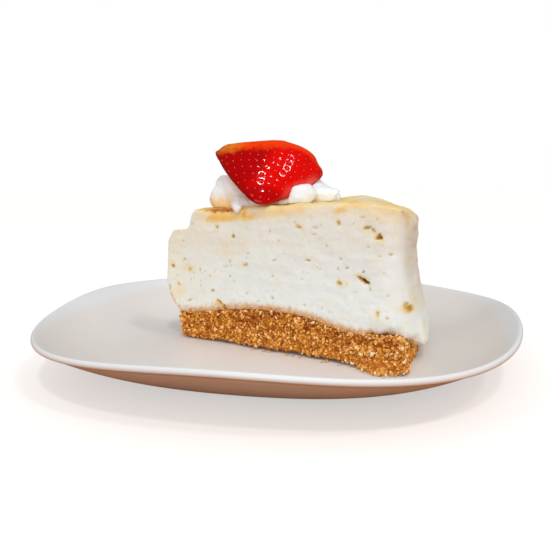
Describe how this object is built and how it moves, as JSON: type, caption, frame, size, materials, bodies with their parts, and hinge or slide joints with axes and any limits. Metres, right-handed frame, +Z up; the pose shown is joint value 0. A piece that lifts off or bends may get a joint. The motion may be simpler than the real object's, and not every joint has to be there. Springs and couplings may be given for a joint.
{
  "type": "cheesecake slice on a plate",
  "caption": "Wedge of baked cheesecake on a crumb base with whipped cream and a strawberry half, served on a white rounded-square coupe plate.",
  "frame": {"origin": "centre of the plate on the surface it stands on, level with the bottom of its foot ring", "axes": "+Z up; X and Y square to the plate's four sides; the slice's point is towards -X and its shown cut face towards -Y"},
  "size_m": [0.1936, 0.1936, 0.0909],
  "materials": {
    "plate_glaze": "white gloss glaze",
    "biscuit_crumb": "crumbly golden brown biscuit crumb",
    "baked_cheese": "moist ivory baked cheese filling, golden on top",
    "cream": "soft white whipped cream",
    "berry": "glossy red fruit skin"
  },
  "bodies": {
    "root": {"plate": "plate_glaze", "crust": "biscuit_crumb", "filling": "baked_cheese", "whipped_cream": "cream", "strawberry": "berry"}
  },
  "joints": []
}
